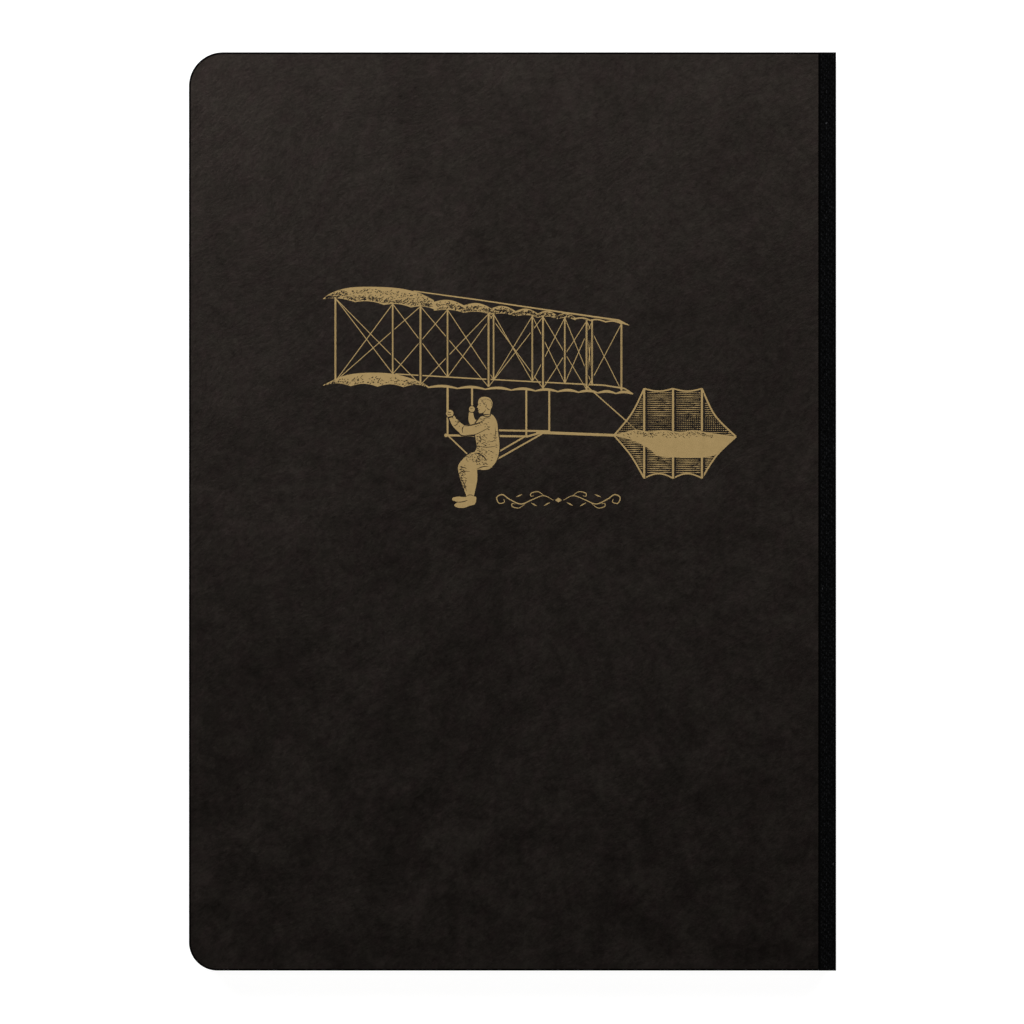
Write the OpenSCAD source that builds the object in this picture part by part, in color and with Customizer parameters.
// Pilot logbook: an A5 thread-sewn softcover book with a cloth spine strip.
// It lies flat on its front cover with the back cover up, the spine at +X and the head at +Y.
// The origin is the middle of the closed book's bottom face, in millimetres.

/* [Book] */

// Height of the closed book along the spine
book_h = 210; // [150:1:260]
// Width of the closed book from the spine to the fore edge
book_w = 148; // [100:1:200]
// Radius of the fore-edge corners at the head
head_corner_r = 7.8; // [3:0.1:14]
// Radius of the fore-edge corners at the tail
tail_corner_r = 6.5; // [3:0.1:14]

/* [Pages] */

// Number of sewn signatures, half of them on each side of the middle opening
signatures = 6; // [2:2:8]
// Folded sheets nested in one signature
sheets_each = 5; // [2:1:6]
// Thickness of the page paper
paper_t = 0.1; // [0.08:0.01:0.16]
// Air left between neighbouring leaves
leaf_air = 0.015; // [0.01:0.005:0.04]

/* [Sewing] */

// Diameter of the sewing thread
thread_d = 0.18; // [0.12:0.02:0.3]
// Number of sewing holes along each fold
stations = 6; // [4:2:8]
// Distance of the first sewing hole from the head and the tail
station_inset = 10; // [6:1:20]
// Length of the slit a thread passes through
slit_l = 0.6; // [0.5:0.1:1.2]

/* [Covers] */

// Thickness of each cover board
board_t = 0.55; // [0.4:0.05:1.2]
// Thickness of the paper pasted inside each cover
pastedown_t = 0.11; // [0.08:0.01:0.2]
// Thickness of each flyleaf
flyleaf_t = 0.11; // [0.08:0.01:0.2]
// Air on both faces of a flyleaf
flyleaf_air = 0.03; // [0.02:0.01:0.06]

/* [Spine] */

// Thickness of the spine cloth
cloth_t = 0.25; // [0.15:0.05:0.5]
// Width of the cloth flap on each cover
cloth_flap = 4; // [2:0.5:20]
// Thickness of the spine lining
lining_t = 0.15; // [0.1:0.05:0.4]
// Distance the lining stops short of the head and the tail
lining_inset = 4; // [1:1:15]

/* [Fits] */

// Clearance between the spine cloth and what it covers
cloth_clear = 0.02; // [0.01:0.01:0.05]
// Clearance between the glue and the folds
glue_clear = 0.01; // [0.01:0.005:0.02]
// Clearance between a thread and the slit it passes through
slit_clear = 0.02; // [0.02:0.01:0.03]
// Clearance between a thread and the innermost fold
core_clear = 0.03; // [0.03:0.01:0.06]
// Clearance around the thread outside the folds
run_clear = 0.03; // [0.02:0.01:0.05]
// Clearance on each side of the middle opening
split_clear = 0.01; // [0.01:0.005:0.03]

/* [Hidden] */

fine = 64;
over = 1;

// Folded sheets, counted from the middle of a signature outwards
pitch = paper_t + leaf_air;
core_r = thread_d / 2 + core_clear;
fold_r = core_r + (sheets_each - 1) * pitch + paper_t;
sig_t = 2 * fold_r + leaf_air;
sheets = signatures * sheets_each;

// Heights of the layers
skin_t = cloth_t + cloth_clear;
cover_t = skin_t + board_t + pastedown_t;
block_z = cover_t + flyleaf_t + 2 * flyleaf_air;
block_t = signatures * sig_t;
book_t = block_t + 2 * block_z;

// Distances from the spine, all on the +X side
spine_x = book_w / 2;
inner_x = spine_x - cloth_t - cloth_clear;
glue_skin = run_clear;
glue_x = inner_x - lining_t;
run_x = glue_x - glue_skin - run_clear - thread_d / 2;
fold_x = run_x - thread_d / 2 - run_clear;
fold_cx = fold_x - fold_r;
leg_l = fold_cx + book_w / 2;
tooth_x = fold_cx + fold_r / 2;
skin_x = spine_x - cloth_flap - cloth_clear;

// Sewing holes
slit_w = thread_d + 2 * slit_clear;
channel_w = thread_d + 2 * run_clear;
station_step = (book_h - 2 * station_inset) / (stations - 1);

function two(n) = n < 10 ? str("0", n) : str(n);
function sig_z(s) = block_z + (s + 0.5) * sig_t;
function station_y(i) = station_inset - book_h / 2 + i * station_step;

// Outline of a leaf or a cover: rounded at the fore edge, square at the edge x_end
module outline(x_end) {
    x0 = -book_w / 2;
    y1 = book_h / 2;
    widest = max(head_corner_r, tail_corner_r);
    translate([x0, tail_corner_r - y1])
        square([x_end - x0, book_h - head_corner_r - tail_corner_r]);
    translate([x0 + head_corner_r, y1 - head_corner_r])
        square([x_end - x0 - head_corner_r, head_corner_r]);
    translate([x0 + tail_corner_r, -y1])
        square([x_end - x0 - tail_corner_r, tail_corner_r]);
    translate([x0 + head_corner_r, y1 - head_corner_r])
        circle(head_corner_r, $fn = fine);
    translate([x0 + tail_corner_r, tail_corner_r - y1])
        circle(tail_corner_r, $fn = fine);
}

// Flat layer of a cover or a flyleaf
module layer(z, t, x_end) {
    translate([0, 0, z])
        linear_extrude(height = t)
            outline(x_end);
}

// Cross-section of half a nested pair: two legs joined by a round fold
module folded(r, extra) {
    translate([-leg_l - extra, -r])
        square([leg_l + extra, 2 * r]);
    circle(r, $fn = fine);
}

// Slits through the folds of signature s, where its thread passes
module slits(s, w, x_from, x_to) {
    for (i = [0:stations - 1])
        translate([x_from, station_y(i) - slit_l / 2, sig_z(s) - w / 2])
            cube([x_to - x_from, slit_l, w]);
}

// One folded sheet: k = 0 is the innermost of its signature
module sheet(n) {
    s = floor((n - 1) / sheets_each);
    k = (n - 1) % sheets_each;
    r_in = core_r + k * pitch;
    color([0.93, 0.90, 0.82])
        difference() {
            intersection() {
                translate([fold_cx, 0, sig_z(s)])
                    rotate([90, 0, 0])
                        linear_extrude(height = book_h, center = true)
                            difference() {
                                folded(r_in + paper_t, 0);
                                folded(r_in, over);
                            }
                linear_extrude(height = book_t)
                    outline(spine_x);
            }
            slits(s, slit_w, fold_cx, fold_x + over);
        }
}

// Thread of one signature: in and out of its fold, from the first hole to the last
module sewing_thread(s) {
    z = sig_z(s);
    r = thread_d / 2;
    color([0.90, 0.88, 0.80]) {
        for (i = [0:stations - 1])
            translate([fold_cx, station_y(i), z])
                rotate([0, 90, 0])
                    cylinder(h = run_x - fold_cx, r = r, $fn = fine);
        for (i = [0:stations - 2])
            translate([i % 2 == 0 ? fold_cx : run_x, station_y(i), z])
                rotate([-90, 0, 0])
                    cylinder(h = station_step, r = r, $fn = fine);
        for (i = [0:stations - 1])
            for (x = [fold_cx, run_x])
                translate([x, station_y(i), z])
                    sphere(r = r, $fn = fine);
    }
}

// Glue on the folds of signatures s0 to s1, with room for the threads
module spine_glue(s0, s1, z0, z1) {
    color([0.86, 0.82, 0.68])
        difference() {
            translate([tooth_x, -book_h / 2, z0])
                cube([glue_x - tooth_x, book_h, z1 - z0]);
            for (s = [s0:s1]) {
                translate([fold_cx, 0, sig_z(s)])
                    rotate([90, 0, 0])
                        cylinder(h = book_h + 2 * over, r = fold_r + glue_clear, center = true, $fn = fine);
                slits(s, channel_w, fold_cx, glue_x - glue_skin);
                for (i = [1:2:stations - 3])
                    translate([fold_cx, station_y(i), sig_z(s) - channel_w / 2])
                        cube([glue_x - glue_skin - fold_cx, station_step, channel_w]);
            }
        }
}

// Woven strip glued over one half of the spine
module spine_lining(z0, z1) {
    color([0.80, 0.80, 0.78])
        translate([glue_x, lining_inset - book_h / 2, z0])
            cube([lining_t, book_h - 2 * lining_inset, z1 - z0]);
}

// Cloth strip round the spine with a flap on each cover
module spine_cloth() {
    color([0.05, 0.05, 0.055])
        difference() {
            translate([spine_x - cloth_flap, -book_h / 2, 0])
                cube([cloth_flap, book_h, book_t]);
            translate([spine_x - cloth_flap - over, -book_h / 2 - over, cloth_t])
                cube([cloth_flap - cloth_t + over, book_h + 2 * over, book_t - 2 * cloth_t]);
        }
}

module cover_skin(z) {
    color([0.14, 0.12, 0.11])
        layer(z, skin_t, skin_x);
}

module cover_board(z) {
    color([0.10, 0.09, 0.085])
        layer(z, board_t, inner_x);
}

module pastedown(z) {
    color([0.92, 0.89, 0.81])
        layer(z, pastedown_t, inner_x);
}

module flyleaf(z) {
    color([0.92, 0.89, 0.81])
        layer(z, flyleaf_t, fold_x);
}

half_z = book_t / 2;
half_sigs = signatures / 2;

cover_skin(0);  // front_skin
cover_board(skin_t);  // front_board
pastedown(skin_t + board_t);  // front_pastedown
flyleaf(cover_t + flyleaf_air);  // front_flyleaf

for (n = [1:sheets])
    sheet(n);

for (s = [1:signatures])
    sewing_thread(s - 1);

spine_glue(0, half_sigs - 1, block_z, half_z - split_clear);  // spine_glue_lower
spine_glue(half_sigs, signatures - 1, half_z + split_clear, book_t - block_z);  // spine_glue_upper
spine_lining(block_z, half_z - split_clear);  // spine_lining_lower
spine_lining(half_z + split_clear, book_t - block_z);  // spine_lining_upper
spine_cloth();

flyleaf(book_t - cover_t - flyleaf_air - flyleaf_t);  // back_flyleaf
pastedown(book_t - cover_t);  // back_pastedown
cover_board(book_t - skin_t - board_t);  // back_board
cover_skin(book_t - skin_t);  // back_skin
